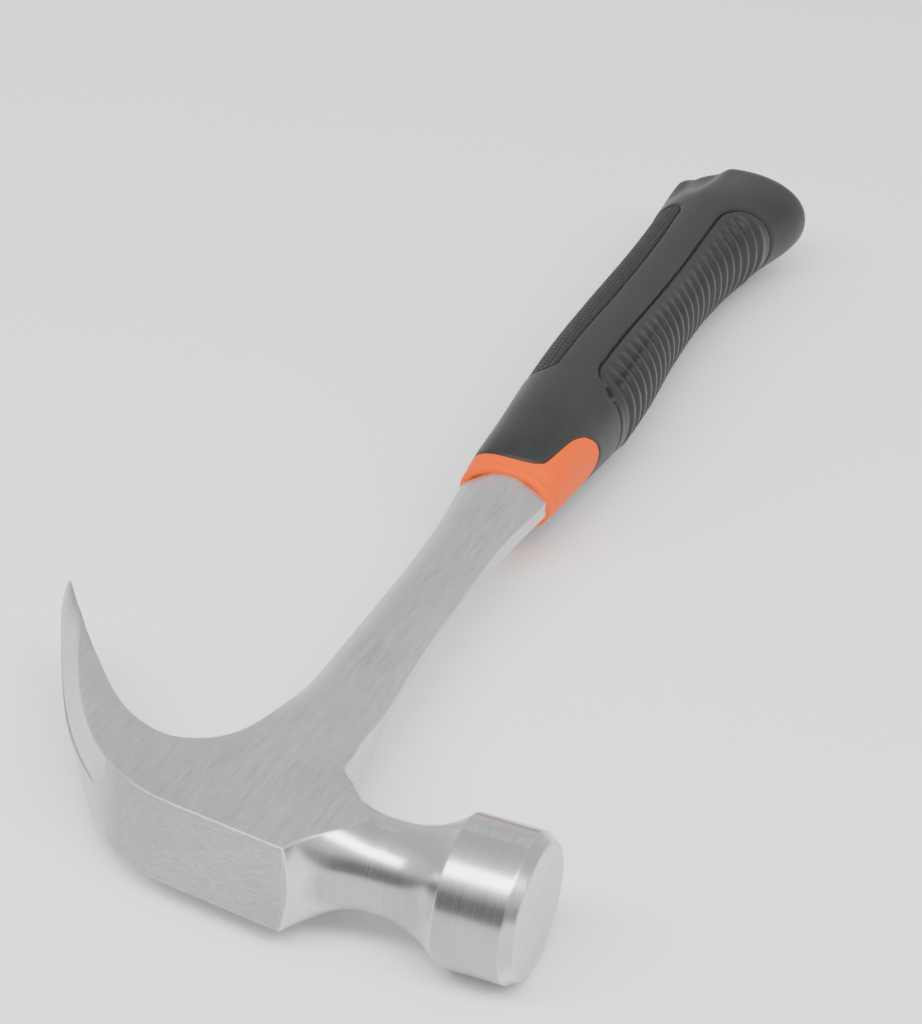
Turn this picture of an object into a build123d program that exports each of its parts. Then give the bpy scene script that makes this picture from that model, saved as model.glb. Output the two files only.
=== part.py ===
from build123d import *
import math
import os

# Claw hammer forged in one piece, with a grip moulded over its tang. All sizes in millimetres.
# While it is modelled, X is the axis of the bell (+X the striking face), Y runs along the handle
# (+Y the butt) and Z is the thickness, with z = 0 the parting plane. At the end everything moves
# so that the origin is the middle of the bottom of the bounding box: the hammer lies on its side.

# Bell and neck, turned about X.
BELL_RADIUS = 15.5
BELL_BACK = 45.8
FACE_X = 62.0
FACE_CHAMFER = 1.7
FACE_CHAMFER_LENGTH = 2.4
WAIST_RADIUS = 9.7
WAIST_FROM = 29.0
WAIST_TO = 32.0
NECK_JOINT = 30.5

# Head block and claws.
HALF_THICKNESS = 10.0
CORNER_X = 14.9
CORNER_Y = -15.9
BAND_END = (-11.0, -12.1)
CLAW_TIP = (-70.8, 59.0)
TIP_BLUNT = 0.9
SLOT_START = (-34.5, -0.8)
SLOT_LENGTH = 68.0
SLOT_HALF_WIDTH = 4.0

# Shank, from the head to the collar of the grip.
SHANK_END = 144.0
SHANK_CREST = 6.0
RIDGE_Y = 12.0
EDGE_RATIO = 0.21
EDGE_FLARE_Y = 36.0
EDGE_FLARE_LENGTH = 6.0
NECK_STRIP = 0.3
FILLET_RADIUS = 8.5
FILLET_X = 22.6

# Tang and grip.
TANG_WIDTH = 13.0
TANG_THICKNESS = 7.0
TANG_END = 308.0
TANG_HOLE_RADIUS = 2.6
TANG_HOLES = (175.0, 215.0, 255.0, 292.0)
COLLAR_Y = 141.0
COVER_THICKNESS = 2.6
INLAY_DEPTH = 1.2
BUTT_Y = 323.0

# Oval sections of the grip: place along Y, back edge, belly edge, half thickness.
GRIP_SECTIONS = (
    (COLLAR_Y, -11.5, 11.3, 7.6),
    (150.0, -12.0, 11.7, 10.2),
    (165.0, -12.5, 12.3, 11.7),
    (187.0, -14.0, 14.0, 12.8),
    (207.0, -14.9, 13.6, 13.2),
    (232.0, -15.0, 11.8, 13.0),
    (262.0, -14.7, 11.2, 12.9),
    (284.0, -15.2, 13.0, 13.2),
    (298.0, -16.1, 15.9, 13.3),
    (311.0, -17.2, 20.0, 12.3),
    (317.0, -17.2, 20.0, 11.1),
    (321.0, -15.0, 17.6, 9.0),
    (BUTT_Y, -11.0, 13.5, 6.2),
)


def flare_radius(start, end, waist, edge):
    """Radius of an arc level with the waist at `start` that rises to `edge` at `end`."""
    run, rise = end - start, edge - waist
    return (run * run + rise * rise) / (2 * rise)


def head_flare():
    """Radius of the neck where it leaves the corner of the block, and of its flare there."""
    corner = math.hypot(CORNER_Y, HALF_THICKNESS)
    return corner, flare_radius(CORNER_X, WAIST_FROM, WAIST_RADIUS, corner)


def bell_flare():
    return flare_radius(WAIST_TO, BELL_BACK, WAIST_RADIUS, BELL_RADIUS)


def flare_arc(centre_x, radius, x):
    """Point of the flare's arc at x, in the X-Y plane."""
    height = WAIST_RADIUS + radius - math.sqrt(radius ** 2 - (x - centre_x) ** 2)
    return (x, height)


def turned_neck_and_bell():
    radius = bell_flare()
    middle = flare_arc(WAIST_TO, radius, (WAIST_TO + BELL_BACK) / 2)
    outline = Polyline((NECK_JOINT, 0), (NECK_JOINT, WAIST_RADIUS), (WAIST_TO, WAIST_RADIUS))
    outline += ThreePointArc((WAIST_TO, WAIST_RADIUS), middle, (BELL_BACK, BELL_RADIUS))
    outline += Polyline(
        (BELL_BACK, BELL_RADIUS),
        (FACE_X - FACE_CHAMFER_LENGTH, BELL_RADIUS),
        (FACE_X, BELL_RADIUS - FACE_CHAMFER),
        (FACE_X, 0),
        (NECK_JOINT, 0),
    )
    return revolve(make_face(outline), Axis.X)


def corner_trimmer():
    """Ring that trims the head block to the turned flare, from the block's corner to the waist."""
    corner, radius = head_flare()
    reach = 40.0
    middle = flare_arc(WAIST_FROM, radius, (CORNER_X + WAIST_FROM) / 2)
    outline = ThreePointArc((CORNER_X, corner), middle, (WAIST_FROM, WAIST_RADIUS))
    outline += Polyline(
        (WAIST_FROM, WAIST_RADIUS),
        (NECK_JOINT, WAIST_RADIUS),
        (NECK_JOINT, reach),
        (CORNER_X, reach),
        (CORNER_X, corner),
    )
    return revolve(make_face(outline), Axis.X)


def claw_back():
    """Outer curve of the claws, from the straight band of the head to the tip."""
    slope = (BAND_END[0] - CORNER_X, BAND_END[1] - CORNER_Y)
    return Spline(
        BAND_END, (-31.5, -2.0), (-44.5, 11.5), (-58.5, 33.0), (-67.5, 49.5), CLAW_TIP,
        tangents=(slope, (-0.25, 0.97)),
    )


def plan_outline():
    """Head, claws and shank seen along Z; the side towards the bell is left rough here."""
    band_slope = (CORNER_Y - BAND_END[1]) / (CORNER_X - BAND_END[0])
    band_at_joint = CORNER_Y + band_slope * (NECK_JOINT - CORNER_X)
    inner_tip = (CLAW_TIP[0] + TIP_BLUNT, CLAW_TIP[1] - 0.3)
    inner = Spline(
        inner_tip, (-62.5, 47.5), (-53.2, 34.8), (-43.2, 23.1), (-34.0, 13.9), (-27.0, 9.8),
        (-21.0, 8.5), (-14.6, 10.7), (-10.1, 16.6), (-8.0, 25.5), (-7.5, 38.0), (-7.8, 60.0),
        (-7.8, 100.0), (-9.1, 128.0), (-10.4, 141.0), (-10.4, SHANK_END),
    )
    outline = Polyline((NECK_JOINT, band_at_joint), BAND_END) + claw_back()
    outline += Line(CLAW_TIP, inner_tip)
    outline += inner
    outline += Polyline(
        (-10.4, SHANK_END), (22.0, SHANK_END), (22.0, 16.0), (NECK_JOINT, 16.0),
        (NECK_JOINT, band_at_joint),
    )
    return make_face(outline)


def belly_side_cutter():
    """What lies beyond the shank and the neck on the side towards the bell."""
    wall = WAIST_RADIUS - NECK_STRIP
    centre = (FILLET_X, wall + FILLET_RADIUS)
    bell = bell_flare()
    strip = bell + NECK_STRIP
    top = WAIST_RADIUS + bell
    rim = (BELL_BACK, top - math.sqrt(strip ** 2 - (BELL_BACK - WAIST_TO) ** 2))
    mid_x = (WAIST_TO + BELL_BACK) / 2
    middle = (mid_x, top - math.sqrt(strip ** 2 - (mid_x - WAIST_TO) ** 2))
    diagonal = FILLET_RADIUS * math.sqrt(0.5)
    outline = ThreePointArc(rim, middle, (WAIST_TO, wall))
    outline += Line((WAIST_TO, wall), (centre[0], wall))
    outline += ThreePointArc(
        (centre[0], wall),
        (centre[0] - diagonal, centre[1] - diagonal),
        (centre[0] - FILLET_RADIUS, centre[1]),
    )
    outline += Spline(
        (centre[0] - FILLET_RADIUS, centre[1]), (13.2, 25.0), (12.1, 32.0), (10.6, 46.0),
        (9.0, 64.0), (8.3, 95.0), (8.9, 126.0), (10.4, 141.0), (10.4, SHANK_END),
        tangents=((0, 1), (0, 1)),
    )
    far = 90.0
    outline += Polyline(
        (10.4, SHANK_END), (10.4, SHANK_END + 5), (far, SHANK_END + 5), (far, 60.0),
        (BELL_BACK, 60.0), rim,
    )
    return extrude(make_face(outline), 30, both=True)


def shank_height(x, y):
    """Height of the crowned side of the shank above the parting plane."""
    bowed = y + (0.01 * (x + 3) ** 2 if x > -19 else 2.56 + 0.55 * (x + 19))
    crest = SHANK_CREST + (HALF_THICKNESS - SHANK_CREST) * math.exp((RIDGE_Y - bowed) / 22)
    crest += 0.6 * (max(y - 95, 0) / 45) ** 2
    edge = EDGE_RATIO + (1 - EDGE_RATIO) / (1 + math.exp((y - EDGE_FLARE_Y) / EDGE_FLARE_LENGTH))
    half_width = 8.1 + 9.0 * math.exp((RIDGE_Y - y) / 15) + 2.4 * (max(y - 95, 0) / 45) ** 2
    middle = 0.2 + 0.7 * math.exp(-((y - 40) / 18) ** 2)
    return crest * (1 - (1 - edge) * ((x - middle) / half_width) ** 2)


def crown_cutter():
    """What lies above the crowned side of the shank; the mirrored one shapes the other side."""
    xs = [-26 + 4 * i for i in range(13)]
    ys = [3 + 7 * j for j in range(23)]
    grid = [[Vector(x, y, shank_height(x, y)) for y in ys] for x in xs]
    crown = Face.make_surface_from_array_of_points(grid, tol=0.02)
    return extrude(crown, 60, dir=(0, 0, 1))


def claw_cutter(stations, reach):
    """Tool that bevels the upper claw along its back, lofted through triangles.

    Each station gives its place along the claw's back, the height of the bevel's foot and how far
    the foot lies inside the back, and the bevel's width on the cheek.
    """
    back = claw_back()
    sections = []
    for place, foot, inside, width in stations:
        point, along = back @ place, back % place
        outward = Vector(-abs(along.Y), -abs(along.X), 0)
        low = point - outward * inside + Vector(0, 0, foot)
        high = point - outward * width + Vector(0, 0, HALF_THICKNESS)
        slope = (high - low).normalized()
        far = point + outward * reach + Vector(0, 0, HALF_THICKNESS + reach)
        below, above = low - slope * 0.4, high + slope * 0.4
        sections.append(make_face(Polyline(below, above, far, below)))
    return loft(sections)


def crown_of_claw():
    """The back of the claws falls away from the slot, more and more towards the tips."""
    return claw_cutter(
        (
            (0.10, 2.0, -0.5, -0.5),
            (0.24, 2.0, 0.0, 0.15),
            (0.34, 1.6, 0.0, 0.9),
            (0.44, 1.5, 0.0, 1.9),
            (0.56, 1.6, 0.0, 3.0),
            (0.72, 2.0, 0.0, 4.3),
            (0.88, 2.4, 0.0, 4.6),
            (1.00, 2.8, 0.0, 4.2),
        ),
        6,
    )


def nail_slot():
    """V-shaped slot between the claws, widening from its root to the tips."""
    start = Vector(*SLOT_START)
    across = Vector(0.45, 0.893, 0).normalized()
    along = Vector(-across.Y, across.X, 0)
    root = 0.35
    plane = Plane(origin=start, x_dir=along, z_dir=across)
    depth = 60
    inner_side = 45
    wedge = Polyline(
        (0, root), (0, -root), (SLOT_LENGTH, -SLOT_HALF_WIDTH), (SLOT_LENGTH, SLOT_HALF_WIDTH),
        (0, root),
    )
    root_round = extrude(plane * Circle(root), inner_side) + extrude(plane * Circle(root), -depth)
    blade = plane * make_face(wedge)
    return extrude(blade, inner_side) + extrude(blade, -depth) + root_round


def tang():
    """Flat bar inside the grip, with holes that the moulding fills."""
    start = SHANK_END - 1
    length = TANG_END - start
    section = Plane(origin=(0, start, 0), x_dir=(1, 0, 0), z_dir=(0, 1, 0)) * RectangleRounded(
        TANG_WIDTH, TANG_THICKNESS, 1.5
    )
    bar = extrude(section, length)
    for y in TANG_HOLES:
        bar -= Pos(0, y, 0) * Cylinder(TANG_HOLE_RADIUS, 2 * TANG_THICKNESS)
    return bar


def forged_steel_body():
    body = extrude(plan_outline(), HALF_THICKNESS, both=True)
    body -= corner_trimmer()
    body += turned_neck_and_bell()
    body -= belly_side_cutter()
    for cutter in (crown_cutter(), crown_of_claw()):
        body -= cutter
        body -= mirror(cutter, Plane.XY)
    body -= nail_slot()
    body += tang()
    return body


def grip_solid(inset, start, end):
    """Oval grip made smaller all round by `inset`, between two places along the handle."""
    ovals = []
    for y, back, belly, half_thickness in GRIP_SECTIONS:
        oval = Ellipse((belly - back) / 2 - inset, half_thickness - inset)
        ovals.append(Plane(origin=((belly + back) / 2, y, 0), x_dir=(1, 0, 0), z_dir=(0, 1, 0)) * oval)
    keep = Pos(0, (start + end) / 2, 0) * Box(80, end - start, 80)
    return loft(ovals, ruled=True) & keep


def through(outline):
    """Region of the grip inside an outline drawn on the side of the handle, right through it."""
    return extrude(make_face(outline), 30, both=True)


def collar_region():
    """The orange collar and its tongue under the belly of the handle."""
    outline = Polyline((-25, COLLAR_Y - 1), (-25, 149), (-10, 148.4))
    outline += Spline(
        (-10, 148.4), (-5, 146.4), (0, 145.8), (5.2, 146.8), (7.8, 150.8), (8.4, 158.0), (9.8, 164.4),
        (12.0, 168.8), (16, 171.0),
    )
    outline += Polyline((16, 171.0), (25, 171.0), (25, COLLAR_Y - 1), (-25, COLLAR_Y - 1))
    return through(outline)


def back_inlay_region():
    outline = Polyline((-30, 186), (-9, 186))
    outline += Spline((-9, 186), (-6.2, 187.4), (-5.4, 191))
    outline += Line((-5.4, 191), (-5.4, 276))
    outline += Spline((-5.4, 276), (-6.3, 284), (-9.5, 288))
    outline += Polyline((-9.5, 288), (-30, 288), (-30, 186))
    return through(outline)


def belly_pad_region():
    outline = Polyline((30, 184), (11.5, 184))
    outline += Spline((11.5, 184), (7.6, 186.4), (5.4, 191), (4.8, 199))
    outline += Line((4.8, 199), (4.9, 278))
    outline += Spline((4.9, 278), (6.0, 286.8), (8.6, 292.2), (13, 296.6))
    outline += Polyline((13, 296.6), (30, 302), (30, 184))
    return through(outline)


grip = grip_solid(0, COLLAR_Y, BUTT_Y)
core = grip_solid(COVER_THICKNESS, SHANK_END, BUTT_Y - 2 * COVER_THICKNESS)
skin = grip - grip_solid(INLAY_DEPTH, COLLAR_Y, BUTT_Y)
steel = forged_steel_body()
collar = collar_region()
back_inlay = skin & back_inlay_region()
belly_pad = skin & belly_pad_region()
nodes = {
    "forged_steel_body": steel,
    "grip_sleeve": ((grip & collar) - steel) + (core - tang()),
    "grip_cover": grip - collar - core - back_inlay - belly_pad,
    "grip_back_inlay": back_inlay,
    "grip_belly_pad": belly_pad,
}

box = Compound(list(nodes.values())).bounding_box()
to_frame = Pos(-(box.min.X + box.max.X) / 2, -(box.min.Y + box.max.Y) / 2, -box.min.Z)
os.makedirs("parts", exist_ok=True)
for name, solid in nodes.items():
    print(name, solid.volume, solid.is_valid, len(solid.solids()))
    export_step(to_frame * solid, f"parts/{name}.step")
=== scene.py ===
"""Looks for a one-piece forged claw hammer with a two-colour moulded grip.

Shapes are worked out in the hammer's own frame, in millimetres: x runs along the bell towards the
striking face, y along the handle towards the butt, z through the thickness, and the origin is where
the bell's axis meets the middle of the handle. Angles round the grip start at the belly (+x) and turn
through the crown (+z) to the back (-x).
"""

import math

import bmesh
import bpy
import numpy as np
from mathutils import Matrix, Vector


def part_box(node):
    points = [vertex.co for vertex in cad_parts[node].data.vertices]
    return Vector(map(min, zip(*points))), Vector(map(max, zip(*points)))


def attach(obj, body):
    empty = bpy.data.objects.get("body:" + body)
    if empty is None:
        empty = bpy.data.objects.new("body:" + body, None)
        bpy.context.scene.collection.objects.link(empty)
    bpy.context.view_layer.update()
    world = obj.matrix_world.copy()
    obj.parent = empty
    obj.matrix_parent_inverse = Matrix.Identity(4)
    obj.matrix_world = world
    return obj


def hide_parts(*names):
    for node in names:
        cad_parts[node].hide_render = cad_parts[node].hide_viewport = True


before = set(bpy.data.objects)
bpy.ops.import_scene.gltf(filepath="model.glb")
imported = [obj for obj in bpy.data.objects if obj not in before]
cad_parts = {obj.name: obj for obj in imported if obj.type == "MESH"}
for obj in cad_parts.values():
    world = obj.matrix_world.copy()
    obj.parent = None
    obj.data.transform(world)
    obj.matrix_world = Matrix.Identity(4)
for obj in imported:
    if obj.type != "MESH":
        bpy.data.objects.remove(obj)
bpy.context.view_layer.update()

MM = 0.001
STEEL_LOW, STEEL_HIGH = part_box("forged_steel_body")
COVER_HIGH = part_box("grip_cover")[1]
FACE_X = 62.0
BUTT_Y = 323.0
ORIGIN = Vector(
    (STEEL_HIGH.x - FACE_X * MM, COVER_HIGH.y - BUTT_Y * MM, (STEEL_LOW.z + STEEL_HIGH.z) / 2)
)
COLLAR_Y = 141.0
COVER_FRONT_Y = 146.0

# Camera, as a place in the hammer's frame and a direction.
CAMERA_PLACE = (212.0, -470.1, 384.4)
CAMERA_AZIMUTH = 20.0
CAMERA_ELEVATION = 31.0
CAMERA_ROLL = 3.75
CAMERA_LENS = 113.7

# Oval sections of the grip: place along y, back edge, belly edge, half thickness.
GRIP_SECTIONS = (
    (141.0, -11.4, 11.3, 7.7),
    (150.0, -12.0, 11.7, 10.0),
    (165.0, -12.5, 12.3, 11.7),
    (187.0, -14.0, 14.0, 12.8),
    (207.0, -14.9, 13.6, 13.2),
    (232.0, -15.0, 11.8, 13.0),
    (262.0, -14.7, 11.2, 12.9),
    (284.0, -15.2, 13.0, 13.2),
    (298.0, -16.1, 15.9, 13.3),
    (311.0, -17.2, 20.0, 12.3),
    (330.0, -17.4, 20.4, 10.8),
)
SECTION_POWER = 2.15
BUTT_ROUND = 8.5
BUTT_POWER = 2.2
BUTT_THICKNESS_ROUND = 0.8
BUTT_GAP = 0.01
COLUMNS = 320
ROW_STEP = 0.5
COLLAR_ROWS = 60
SHELL = 1.4
OUTSIDE = -20.0

# Details of the grip.
LIP_LENGTH = 2.0
LIP_ROUND = 1.1
LIP_DROP = 0.9
LIP_STEP = 0.28
COLLAR_SEAM = 0.3
COVER_SEAM = 0.35
RIB_PITCH = 4.48
RIB_FIRST = 185.2
RIB_HEIGHT = 0.95
INLAY_SUNK = 0.3
GROOVE_DEPTH = 0.75
GROOVE_WIDTH = 0.42
KNURL_PITCH = 3.2
KNURL_HEIGHT = 0.2
BACK_RADIUS = 13.0
SCOOP_DEPTH = 2.0
SCOOP_ANGLE = 2.27
SCOOP_SPREAD = 0.42
SCOOP_FULL_THICKNESS = 11.0
STRIP_FROM = 186.0
STRIP_TO = 288.0
PAD_FROM = 184.0
PAD_TO = 298.0


def to_world(points):
    """Points of the hammer's frame, in millimetres, as points of the row frame, in metres."""
    return np.asarray(points) * MM + np.array(ORIGIN)


def smoothstep(low, high, value):
    t = np.clip((value - low) / (high - low), 0.0, 1.0)
    return t * t * (3 - 2 * t)


def curve_through(points, value):
    """A smooth curve through (place, height) points, by Catmull-Rom segments."""
    px = np.array([p[0] for p in points], float)
    py = np.array([p[1] for p in points], float)
    slope = np.gradient(py, px)
    i = np.clip(np.searchsorted(px, value) - 1, 0, len(px) - 2)
    h = px[i + 1] - px[i]
    t = np.clip((value - px[i]) / h, 0, 1)
    return (
        (2 * t**3 - 3 * t**2 + 1) * py[i]
        + (t**3 - 2 * t**2 + t) * h * slope[i]
        + (3 * t**2 - 2 * t**3) * py[i + 1]
        + (t**3 - t**2) * h * slope[i + 1]
    )


def section(y):
    """Centre, half width and half thickness of the grip's oval at y."""
    back = curve_through([(s[0], s[1]) for s in GRIP_SECTIONS], y)
    belly = curve_through([(s[0], s[2]) for s in GRIP_SECTIONS], y)
    half = curve_through([(s[0], s[3]) for s in GRIP_SECTIONS], y)
    past = np.clip((y - (BUTT_Y - BUTT_ROUND)) / BUTT_ROUND, 0, 1)
    drop = BUTT_ROUND * (1 - (1 - past**BUTT_POWER) ** (1 / BUTT_POWER))
    return (back + belly) / 2, (belly - back) / 2 - drop, half - BUTT_THICKNESS_ROUND * drop


def grip_point(y, angle, height=0.0):
    """Point of the grip at y and an angle, raised along the outward normal of the oval."""
    centre, wide, thick = section(y)
    c, s = np.cos(angle), np.sin(angle)
    power = 2 / SECTION_POWER
    x = wide * np.sign(c) * np.abs(c) ** power
    z = thick * np.sign(s) * np.abs(s) ** power
    nx, nz = c / np.maximum(wide, 0.1), s / np.maximum(thick, 0.1)
    length = np.hypot(nx, nz)
    return np.stack([centre + x + height * nx / length, y + 0 * x, z + height * nz / length], -1)


def collar_end(angle):
    """Where the orange collar ends along y: low over the back, with a tongue along the belly."""
    fold = np.abs(np.angle(np.exp(1j * angle)))
    tongue = [(0.0, 171.4), (0.25, 170.2), (0.45, 167.9), (0.64, 164.6), (0.77, 159.6), (0.84, 154.0)]
    ring = [(0.92, 149.4), (1.06, 147.2), (1.3, 145.9), (1.6, 145.6), (2.1, 146.6), (2.6, 148.4)]
    return curve_through([*tongue, *ring, (math.pi, 149.0)], fold)


def rounded_corner(side, end, radius):
    """Distance inside a corner rounded to a radius, from the distances inside its two edges."""
    return radius - np.hypot(np.maximum(radius - side, 0), np.maximum(radius - end, 0))


def pad_inside(x, y, fold):
    """Distance inside the outline of the ribbed belly pad, in millimetres."""
    border = [(180.0, 4.8), (205.0, 4.7), (254.0, 4.9), (275.0, 4.7), (300.0, 5.0)]
    edge = curve_through(border, y)
    side = np.where(fold < 1.9, x - edge, OUTSIDE)
    start = y - PAD_FROM
    end = PAD_TO + 0.45 * (x - 14.0) - y
    near = rounded_corner(side, start, 8.5)
    far = rounded_corner(side, end, 9.0)
    return np.minimum(np.minimum(np.minimum(side, start), end), np.minimum(near, far))


def strip_inside(x, y, fold):
    """Distance inside the outline of the textured strip along the back."""
    border = [(180.0, -5.5), (202.0, -5.4), (224.0, -4.8), (263.0, -5.1), (288.0, -6.3)]
    edge = curve_through(border, y)
    side = np.where(fold > 1.4, edge - x, OUTSIDE)
    start, end = y - STRIP_FROM, STRIP_TO - y
    near = rounded_corner(side, start, 3.0)
    far = rounded_corner(side, end, 4.5)
    return np.minimum(np.minimum(np.minimum(side, start), end), np.minimum(near, far))


def rib_relief(y):
    """Ribs with a crisp crest, a rounded side and a narrow valley."""
    phase = np.mod((y - RIB_FIRST) / RIB_PITCH, 1.0)
    rise = smoothstep(0.0, 0.3, phase)
    fall = 1 - smoothstep(0.42, 1.0, phase)
    return rise * fall


def grip_relief(y, angle):
    """Height of the grip's details over its smooth shape, and the pad and strip distances."""
    fold = np.abs(np.angle(np.exp(1j * angle)))
    x = grip_point(y, angle)[..., 0]
    pad = pad_inside(x, y, fold)
    strip = strip_inside(x, y, fold)
    height = -GROOVE_DEPTH * np.exp(-((pad / GROOVE_WIDTH) ** 2))
    height -= GROOVE_DEPTH * np.exp(-((strip / GROOVE_WIDTH) ** 2))
    height += (RIB_HEIGHT * rib_relief(y) - INLAY_SUNK) * smoothstep(1.4, 5.5, pad)
    around = (fold - math.pi) * BACK_RADIUS
    wave = 2 * math.pi / KNURL_PITCH
    knurl = np.cos(wave * (y + around)) * np.cos(wave * (y - around))
    height += (KNURL_HEIGHT * knurl - INLAY_SUNK) * smoothstep(0.3, 1.3, strip)
    scoop = np.exp(-(((fold - SCOOP_ANGLE) / SCOOP_SPREAD) ** 6)) * smoothstep(289.0, 312.0, y)
    height -= SCOOP_DEPTH * scoop * np.clip(section(y)[2] / SCOOP_FULL_THICKNESS, 0.0, 1.0)
    return height, pad, strip


def close_butt(grid):
    """Adds rows that close the butt end of a grid of grip points, down to one point."""
    last = grid[-1]
    centre = last.mean(axis=0)
    rows = [centre + (last - centre) * share for share in (0.85, 0.65, 0.4, 0.2, 0.0)]
    return np.concatenate([grid, np.array(rows)])


def grid_mesh(name, outer, inner, keep):
    """A closed shell between two grids of points, on the faces where keep is true."""
    rows, columns = outer.shape[0], outer.shape[1]
    index = np.arange(rows * columns).reshape(rows, columns)
    right = np.roll(index, -1, axis=1)
    quads = np.stack([index[:-1], right[:-1], right[1:], index[1:]], -1)[keep]
    shift = rows * columns
    faces = [quads.reshape(-1, 4), (quads.reshape(-1, 4) + shift)[:, ::-1]]
    edges = np.concatenate([quads[:, [a, (a + 1) % 4]] for a in range(4)])
    forward = {(int(a), int(b)) for a, b in edges}
    border = np.array([(a, b) for a, b in edges if (int(b), int(a)) not in forward])
    walls = np.stack([border[:, 1], border[:, 0], border[:, 0] + shift, border[:, 1] + shift], -1)
    faces.append(walls)
    faces = np.concatenate(faces)
    used, compact = np.unique(faces, return_inverse=True)
    points = to_world(np.concatenate([outer.reshape(-1, 3), inner.reshape(-1, 3)]))[used]
    mesh = bpy.data.meshes.new(name)
    mesh.from_pydata(points.tolist(), [], compact.reshape(-1, 4).tolist())
    weld = bmesh.new()
    weld.from_mesh(mesh)
    bmesh.ops.remove_doubles(weld, verts=weld.verts, dist=1e-7)
    bmesh.ops.recalc_face_normals(weld, faces=weld.faces)
    weld.to_mesh(mesh)
    weld.free()
    mesh.shade_smooth()
    piece = bpy.data.objects.new(name, mesh)
    bpy.context.scene.collection.objects.link(piece)
    return piece


class Nodes:
    """Short names for building one material's node tree."""

    def __init__(self, name, rough, metal=0.0):
        self.material = bpy.data.materials.new(name)
        self.material.use_nodes = True
        self.tree = self.material.node_tree
        self.shader = self.tree.nodes["Principled BSDF"]
        self.shader.inputs["Metallic"].default_value = metal
        self.shader.inputs["Roughness"].default_value = rough
        self.shader.inputs["Base Color"].default_value = (0.5, 0.5, 0.5, 1.0)
        place = self.tree.nodes.new("ShaderNodeTexCoord")
        shift = self.tree.nodes.new("ShaderNodeMapping")
        shift.vector_type = "TEXTURE"
        shift.inputs["Location"].default_value = ORIGIN
        shift.inputs["Scale"].default_value = (MM, MM, MM)
        self.tree.links.new(place.outputs["Object"], shift.inputs["Vector"])
        self.place = shift.outputs["Vector"]

    def add(self, kind, inputs=None, **settings):
        node = self.tree.nodes.new(kind)
        for key, value in settings.items():
            setattr(node, key, value)
        for key, value in (inputs or {}).items():
            if isinstance(value, bpy.types.NodeSocket):
                self.tree.links.new(value, node.inputs[key])
            else:
                node.inputs[key].default_value = value
        return node

    def stretch(self, scale):
        node = self.add("ShaderNodeVectorMath", {0: self.place, 1: scale}, operation="MULTIPLY")
        return node.outputs[0]

    def noise(self, scale, detail=3.0, roughness=0.55):
        return self.add(
            "ShaderNodeTexNoise",
            {"Vector": self.stretch(scale), "Scale": 1.0, "Detail": detail, "Roughness": roughness},
        ).outputs["Fac"]

    def math(self, operation, a, b=0.0):
        return self.add("ShaderNodeMath", {0: a, 1: b}, operation=operation).outputs[0]

    def ramp(self, value, low, high, to_low=0.0, to_high=1.0):
        inputs = {"Value": value, "From Min": low, "From Max": high, "To Min": to_low, "To Max": to_high}
        return self.add("ShaderNodeMapRange", inputs).outputs[0]

    def mix(self, factor, a, b):
        return self.add("ShaderNodeMix", {0: factor, 2: a, 3: b}, data_type="FLOAT").outputs[0]

    def color(self, value, stops):
        node = self.tree.nodes.new("ShaderNodeValToRGB")
        ramp = node.color_ramp
        while len(ramp.elements) < len(stops):
            ramp.elements.new(0.5)
        for element, (place, shade) in zip(ramp.elements, stops):
            element.position = place
            element.color = (*shade, 1.0)
        self.tree.links.new(value, node.inputs["Fac"])
        return node.outputs["Color"]

    def edges(self, radius, samples=6):
        """Softened normal, and how sharply the surface turns within the radius."""
        soft = self.add("ShaderNodeBevel", {"Radius": radius}, samples=samples).outputs["Normal"]
        plain = self.add("ShaderNodeNewGeometry").outputs["Normal"]
        same = self.add("ShaderNodeVectorMath", {0: soft, 1: plain}, operation="DOT_PRODUCT")
        return soft, self.ramp(same.outputs["Value"], 0.99, 0.86)

    def bump(self, height, distance, strength, normal):
        inputs = {"Height": height, "Distance": distance, "Strength": strength, "Normal": normal}
        return self.add("ShaderNodeBump", inputs).outputs["Normal"]

    def finish(self, color, roughness=None, normal=None):
        """Links what is given to the shader; the roughness and normal may stay plain."""
        for key, value in (("Base Color", color), ("Roughness", roughness), ("Normal", normal)):
            if value is not None:
                self.tree.links.new(value, self.shader.inputs[key])
        return self.material


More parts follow.
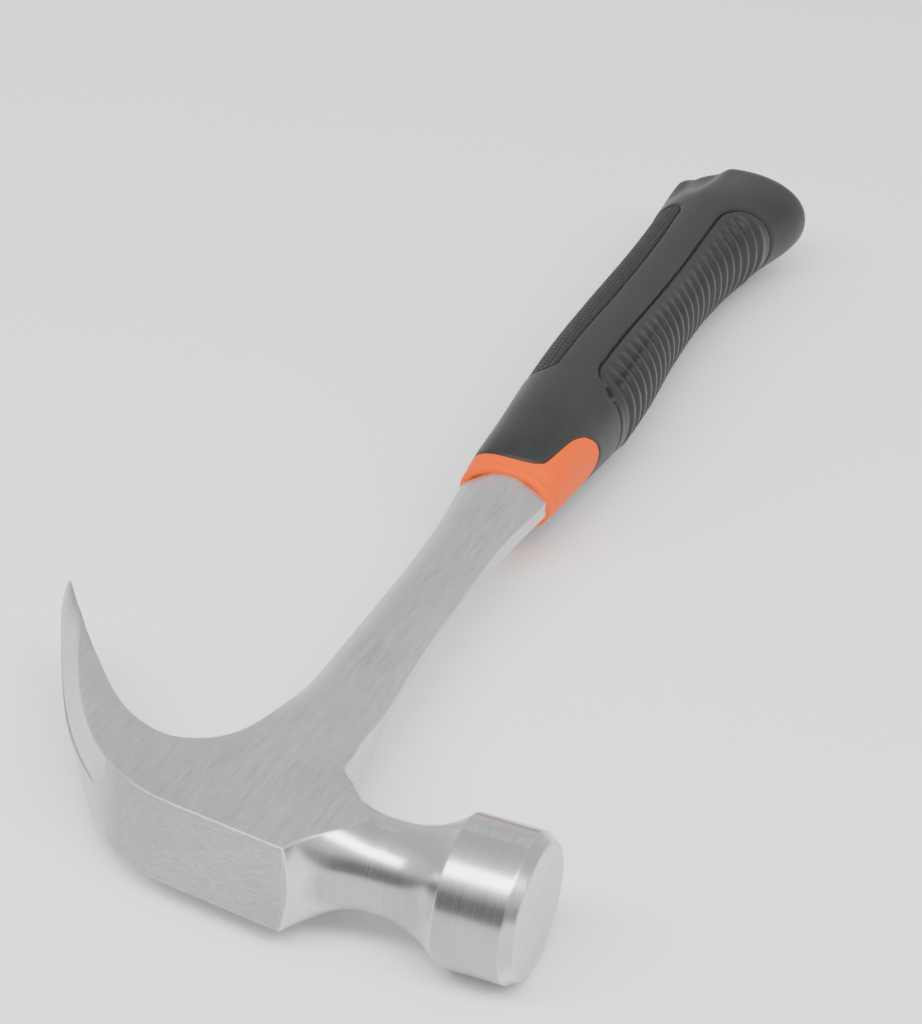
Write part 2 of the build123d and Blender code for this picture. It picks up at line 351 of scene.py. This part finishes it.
def steel_material():
    """Satin steel: belt-ground lines along the handle, turned lines round the neck and bell."""
    n = Nodes("satin_steel", 0.36, metal=1.0)
    axes = n.add("ShaderNodeSeparateXYZ", {0: n.place})
    x = axes.outputs["X"]
    normal = n.add("ShaderNodeNewGeometry").outputs["Normal"]
    normal_axes = n.add("ShaderNodeSeparateXYZ", {0: normal})

    # Ground lines: along the handle, and across it on the band under the head.
    band = n.ramp(n.math("MULTIPLY", normal_axes.outputs["Y"], -1.0), 0.72, 0.85)
    fine_handle = n.noise((3.4, 0.16, 3.4), 5.0, 0.65)
    broad_handle = n.noise((0.9, 0.06, 0.9), 3.0, 0.6)
    fine_part = n.math("MULTIPLY", fine_handle, 0.6)
    broad_part = n.math("MULTIPLY", broad_handle, 0.4)
    along_handle = n.math("ADD", fine_part, broad_part)
    along_band = n.noise((0.16, 3.2, 3.2), 5.0, 0.65)
    ground = n.mix(band, along_handle, along_band)

    # Turned lines: past the corner of the block, near the bell's axis and off the flat cheeks.
    turned_lines = n.math("ADD", n.math("MULTIPLY", n.noise((5.0, 0.06, 0.06), 3.0), 0.35), 0.325)
    flat_cheek = n.ramp(n.math("ABSOLUTE", normal_axes.outputs["Z"]), 0.992, 0.998)
    y_squared = n.math("POWER", axes.outputs["Y"], 2.0)
    z_squared = n.math("POWER", axes.outputs["Z"], 2.0)
    from_axis = n.math("SQRT", n.math("ADD", y_squared, z_squared))
    near_axis = n.ramp(from_axis, 19.5, 18.9)
    off_cheek = n.math("SUBTRACT", 1.0, flat_cheek)
    turned = n.math("MULTIPLY", n.ramp(x, 14.7, 15.1), n.math("MULTIPLY", near_axis, off_cheek))

    # The striking face has a grain without direction.
    face = n.ramp(x, FACE_X - 0.4, FACE_X - 0.1)
    face_grain = n.noise((1.4, 1.4, 1.4), 4.0)
    turned_or_face = n.mix(face, turned_lines, face_grain)
    lines = n.mix(turned, ground, turned_or_face)

    # Shade of grey, darker on the band as painted shade; the edges are bright as a painted highlight, except on
    # the claws, where they are soft.
    patches = n.noise((0.05, 0.035, 0.05), 3.0)
    tone = n.math("ADD", lines, n.math("MULTIPLY", patches, 0.3))
    # Painted shade: the band, picked by its normal facing -y, is darkened in colour.
    tone = n.math("SUBTRACT", tone, n.math("ADD", n.math("MULTIPLY", band, 0.42), 0.12))
    soft, edge = n.edges(n.ramp(x, -38.0, -52.0, 0.0009, 0.0035))
    crisp = n.ramp(x, -52.0, -40.0, 0.0, 0.35)
    # Painted highlight: the colour is lightened along sharp edges, found from the bevel normal.
    edge_highlighted = n.math("ADD", tone, n.math("MULTIPLY", edge, crisp))
    shades = [
        (0.0, (0.3, 0.3, 0.306)),
        (0.25, (0.42, 0.42, 0.427)),
        (0.53, (0.575, 0.575, 0.583)),
        (0.85, (0.74, 0.74, 0.748)),
    ]
    color = n.color(edge_highlighted, shades)
    ground_rough = n.ramp(lines, 0.3, 0.7, 0.42, 0.54)
    turned_rough = n.ramp(lines, 0.3, 0.7, 0.21, 0.26)
    face_rough = n.ramp(lines, 0.3, 0.7, 0.4, 0.46)
    rough = n.mix(turned, ground_rough, n.mix(face, turned_rough, face_rough))
    bumped = n.bump(lines, 0.00004, 0.25, soft)
    return n.finish(color, rough, bumped)


def moulded(name, dark, light, rough, grain, depth, shine=0.3):
    """Moulded plastic or rubber with a fine grain, faint mottling and edges lightened as a painted highlight."""
    n = Nodes(name, rough)
    n.shader.inputs["Specular IOR Level"].default_value = shine
    fine = n.noise((grain, grain, grain), 2.0)
    mottle = n.noise((0.12, 0.05, 0.12), 4.0)
    soft, edge = n.edges(0.0007, 4)
    tone = n.math("ADD", n.math("MULTIPLY", mottle, 0.7), n.math("MULTIPLY", fine, 0.3))
    # Painted highlight: the colour is lightened along sharp edges.
    edge_highlighted = n.math("ADD", tone, n.math("MULTIPLY", edge, 0.18))
    color = n.color(edge_highlighted, [(0.3, dark), (0.75, light)])
    roughness = n.ramp(mottle, 0.3, 0.7, rough - 0.05, rough + 0.07)
    return n.finish(color, roughness, n.bump(fine, depth, 0.5, soft))


def grip_grids():
    """Outer and inner grid of the cover, its pad and strip distances, and the collar's rows."""
    angle = np.linspace(0, 2 * math.pi, COLUMNS, endpoint=False)[None, :]
    collar_rows = np.linspace(0, 1, COLLAR_ROWS)[:, None]
    end = collar_end(angle)
    collar_y = COLLAR_Y + (end - COLLAR_Y) * collar_rows
    cover_count = int((BUTT_Y - COVER_FRONT_Y) / ROW_STEP)
    share = np.linspace(0, 1, cover_count)[:, None]
    cover_y = end + (BUTT_Y - BUTT_GAP - end) * share
    angles = np.broadcast_to(angle, cover_y.shape)

    height, pad, strip = grip_relief(cover_y, angles)
    height -= COVER_SEAM * np.exp(-(((cover_y - end) / COVER_SEAM) ** 2))
    outer = grip_point(cover_y, angles, height)
    inner = grip_point(np.minimum(cover_y, BUTT_Y - 2 * SHELL), angles, np.minimum(height, 0) - SHELL)
    outer, inner = close_butt(outer), close_butt(inner)
    closing = np.full((len(outer) - len(pad), COLUMNS), OUTSIDE)
    pad, strip = np.concatenate([pad, closing]), np.concatenate([strip, closing])
    return outer, inner, pad, strip, collar_y, angle


def middle_of_faces(values):
    """Value of each face of a grid that closes on itself, from its four corners."""
    right = np.roll(values, -1, axis=1)
    return (values[:-1] + right[:-1] + right[1:] + values[1:]) / 4


def collar_piece(collar_y, angle):
    """Orange collar with a rounded front lip and a shallow step behind it."""
    angles = np.broadcast_to(angle, collar_y.shape)
    front = collar_y - COLLAR_Y
    lip = np.clip(1 - front / LIP_ROUND, 0, 1)
    height = -LIP_DROP * (1 - np.sqrt(np.maximum(1 - lip**2, 0)))
    height -= LIP_STEP * smoothstep(LIP_LENGTH - 0.5, LIP_LENGTH + 0.4, front)
    height += LIP_STEP * smoothstep(LIP_LENGTH + 0.4, LIP_LENGTH + 3.5, front)
    height -= COLLAR_SEAM * np.exp(-(((collar_y[-1] - collar_y) / COLLAR_SEAM) ** 2))
    outer = grip_point(collar_y, angles, height)
    inner = grip_point(collar_y, angles, height - SHELL)
    keep = np.ones((collar_y.shape[0] - 1, COLUMNS), bool)
    return grid_mesh("collar_with_tongue", outer, inner, keep)


def build_grip():
    outer, inner, pad, strip, collar_y, angle = grip_grids()
    pad_faces = middle_of_faces(pad) > 0
    strip_faces = middle_of_faces(strip) > 0
    cover_faces = ~(pad_faces | strip_faces)
    rubber = moulded(
        "grey_rubber", (0.0165, 0.0185, 0.018), (0.029, 0.0315, 0.0305), rough=0.46, grain=5.0, depth=0.00004
    )
    dark = moulded(
        "dark_rubber", (0.0105, 0.012, 0.0115), (0.02, 0.022, 0.0215), rough=0.55, grain=6.0, depth=0.00004
    )
    ribbed = moulded(
        "ribbed_rubber", (0.0155, 0.0175, 0.017), (0.027, 0.0295, 0.0285), rough=0.38, grain=5.0, depth=0.00003
    )
    orange = moulded(
        "orange_plastic", (0.82, 0.082, 0.0), (0.92, 0.108, 0.0), rough=0.5, grain=4.0, depth=0.00002, shine=0.08
    )
    collar = collar_piece(collar_y, angle)
    cover = grid_mesh("moulded_cover", outer, inner, cover_faces)
    back_strip = grid_mesh("textured_back_strip", outer, inner, strip_faces)
    belly_pad = grid_mesh("ribbed_belly_pad", outer, inner, pad_faces)
    pieces = (
        (collar, "grip_sleeve", "orange_plastic", orange),
        (cover, "grip_cover", "grey_rubber", rubber),
        (back_strip, "grip_back_inlay", "dark_rubber", dark),
        (belly_pad, "grip_belly_pad", "ribbed_rubber", ribbed),
    )
    for piece, node, slot, material in pieces:
        piece.data.materials.append(material)
        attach(piece, "root")
        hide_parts(node)


def dress_steel():
    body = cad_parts["forged_steel_body"]
    material = steel_material()
    body.data.materials.clear()
    body.data.materials.append(material)


def add_floor():
    mesh = bpy.data.meshes.new("studio_floor")
    half = 4.0
    corners = [(-half, -half, 0), (half, -half, 0), (half, half, 0), (-half, half, 0)]
    mesh.from_pydata(corners, [], [(0, 1, 2, 3)])
    floor = bpy.data.objects.new("studio_floor", mesh)
    bpy.context.scene.collection.objects.link(floor)
    n = Nodes("pale_floor", 0.6)
    tone = n.noise((0.01, 0.01, 0.01), 2.0)
    pale = n.color(tone, [(0.3, (0.97, 0.97, 0.97)), (0.7, (0.98, 0.98, 0.98))])
    mesh.materials.append(n.finish(pale))
    floor.location.z = -0.0001


def add_light(name, place, target, size, power):
    data = bpy.data.lights.new(name, "AREA")
    data.shape = "RECTANGLE"
    data.size, data.size_y = size
    data.energy = power
    light = bpy.data.objects.new(name, data)
    light.location = Vector(place)
    light.rotation_mode = "QUATERNION"
    light.rotation_quaternion = (Vector(target) - Vector(place)).to_track_quat("-Z", "Y")
    bpy.context.scene.collection.objects.link(light)


def add_lights():
    world = bpy.data.worlds.new("soft_studio")
    world.use_nodes = True
    tree = world.node_tree
    background = tree.nodes["Background"]
    background.inputs["Strength"].default_value = 0.95
    direction = tree.nodes.new("ShaderNodeTexCoord").outputs["Generated"]
    axes = tree.nodes.new("ShaderNodeSeparateXYZ")
    tree.links.new(direction, axes.inputs[0])
    front = tree.nodes.new("ShaderNodeMath")
    front.operation = "MULTIPLY"
    front.inputs[1].default_value = -1.0
    tree.links.new(axes.outputs["Y"], front.inputs[0])
    height = tree.nodes.new("ShaderNodeMath")
    height.operation = "ARCTAN2"
    tree.links.new(axes.outputs["Z"], height.inputs[0])
    tree.links.new(front.outputs[0], height.inputs[1])
    share = tree.nodes.new("ShaderNodeMapRange")
    share.inputs["From Min"].default_value = 0.0
    share.inputs["From Max"].default_value = math.pi
    tree.links.new(height.outputs[0], share.inputs["Value"])
    ramp = tree.nodes.new("ShaderNodeValToRGB")
    stops = (
        (0.0, 0.36), (0.15, 0.38), (0.25, 1.1), (0.46, 1.15), (0.58, 0.86), (0.84, 0.88), (0.95, 1.05),
    )
    while len(ramp.color_ramp.elements) < len(stops):
        ramp.color_ramp.elements.new(0.5)
    for element, (place, shade) in zip(ramp.color_ramp.elements, stops):
        element.position = place
        element.color = (shade, shade, shade, 1.0)
    tree.links.new(share.outputs[0], ramp.inputs["Fac"])
    tree.links.new(ramp.outputs["Color"], background.inputs["Color"])
    bpy.context.scene.world = world
    add_light("key", (0.15, -0.62, 1.1), (0, 0, 0), (2.4, 0.4), 30.0)


def add_camera():
    azimuth, elevation, roll = (math.radians(a) for a in (CAMERA_AZIMUTH, CAMERA_ELEVATION, CAMERA_ROLL))
    back = Vector((math.sin(azimuth) * math.cos(elevation), -math.cos(azimuth) * math.cos(elevation),
                   math.sin(elevation)))
    right = Vector((0, 0, 1)).cross(back).normalized()
    up = back.cross(right)
    tilted_right = math.cos(roll) * right + math.sin(roll) * up
    tilted_up = math.cos(roll) * up - math.sin(roll) * right
    data = bpy.data.cameras.new("camera")
    data.lens = CAMERA_LENS
    data.sensor_fit = "AUTO"
    data.sensor_width = 36.0
    data.clip_start, data.clip_end = 0.01, 50.0
    camera = bpy.data.objects.new("camera", data)
    turn = Matrix((tilted_right, tilted_up, back)).transposed()
    camera.matrix_world = Matrix.Translation(Vector(to_world(CAMERA_PLACE))) @ turn.to_4x4()
    bpy.context.scene.collection.objects.link(camera)
    bpy.context.scene.camera = camera


dress_steel()
build_grip()
add_floor()
add_lights()
add_camera()
